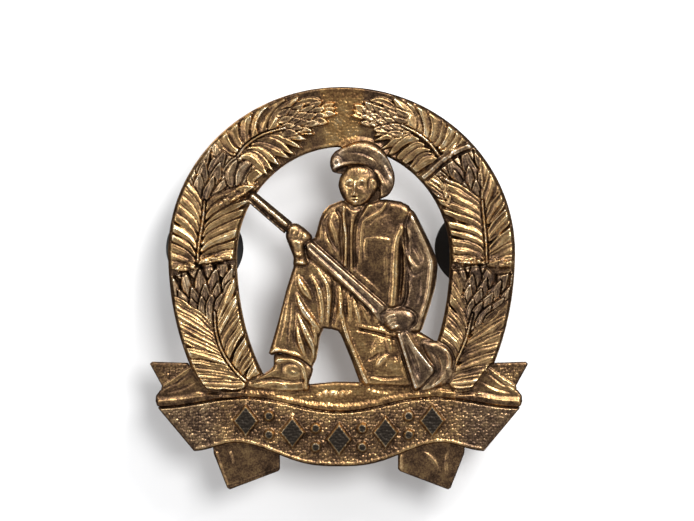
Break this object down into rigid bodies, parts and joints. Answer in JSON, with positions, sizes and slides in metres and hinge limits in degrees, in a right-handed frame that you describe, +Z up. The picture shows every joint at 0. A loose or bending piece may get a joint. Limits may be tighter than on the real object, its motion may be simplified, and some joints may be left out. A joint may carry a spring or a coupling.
{
  "type": "cap badge",
  "caption": "Struck bronze cap badge: an open wreath, a kneeling rifleman and a scroll, held to the cap by screw posts with washers and knurled thumb nuts.",
  "frame": {"origin": "midway between the two screw posts, on the flat back plane of the badge", "axes": "+X to the right as seen from the front, +Y backward into the cap, +Z up as worn"},
  "size_m": [0.0424, 0.0092, 0.045],
  "materials": {
    "bronze": "aged struck bronze, dark in the recesses and rubbed bright on the ridges",
    "ornament": "dark patinated flat tops",
    "post": "turned brass",
    "solder": "dull grey soft solder",
    "washer": "matt black",
    "nut": "blackened, knurled edge"
  },
  "bodies": {
    "badge": {"wreath_crown": "bronze", "wreath_left_lower": "bronze", "wreath_left_middle": "bronze", "wreath_left_upper": "bronze", "wreath_right_lower": "bronze", "wreath_right_middle": "bronze", "wreath_right_upper": "bronze", "hat": "bronze", "head": "bronze", "jacket": "bronze", "near_sleeve": "bronze", "front_trouser_leg": "bronze", "kneeling_trouser_leg": "bronze", "front_boot": "bronze", "kneeling_boot": "bronze", "front_hand": "bronze", "trigger_hand": "bronze", "rifle_barrel": "bronze", "rifle_stock": "bronze", "rifle_butt": "bronze", "ground": "bronze", "scroll_band": "bronze", "scroll_ornament": "ornament", "scroll_folds": "bronze", "scroll_upper_tail_left": "bronze", "scroll_upper_tail_right": "bronze", "scroll_lower_tail_left": "bronze", "scroll_lower_tail_right": "bronze", "screw_posts": "post", "solder_feet": "solder"},
    "left_washer": {"washer_left": "washer"},
    "left_nut": {"thumb_nut_left": "nut"},
    "right_washer": {"washer_right": "washer"},
    "right_nut": {"thumb_nut_right": "nut"}
  },
  "joints": [
    {"name": "left_washer_slide", "type": "slide", "parent": "badge", "child": "left_washer", "axis": [0, 1, 0], "range_m": [-0.0006, 0.0026]},
    {"name": "left_nut_turn", "type": "hinge", "parent": "left_washer", "child": "left_nut", "pos_m": [-0.0151, 0, 0], "axis": [0, 1, 0], "range_deg": [-541, 2341]},
    {"name": "right_washer_slide", "type": "slide", "parent": "badge", "child": "right_washer", "axis": [0, 1, 0], "range_m": [-0.0006, 0.0026]},
    {"name": "right_nut_turn", "type": "hinge", "parent": "right_washer", "child": "right_nut", "pos_m": [0.0151, 0, 0], "axis": [0, 1, 0], "range_deg": [-541, 2341]}
  ],
  "couplings": [
    {"joint": "left_nut_turn", "follows": "left_washer_slide", "rad_per_m": 15708},
    {"joint": "right_nut_turn", "follows": "right_washer_slide", "rad_per_m": 15708}
  ]
}
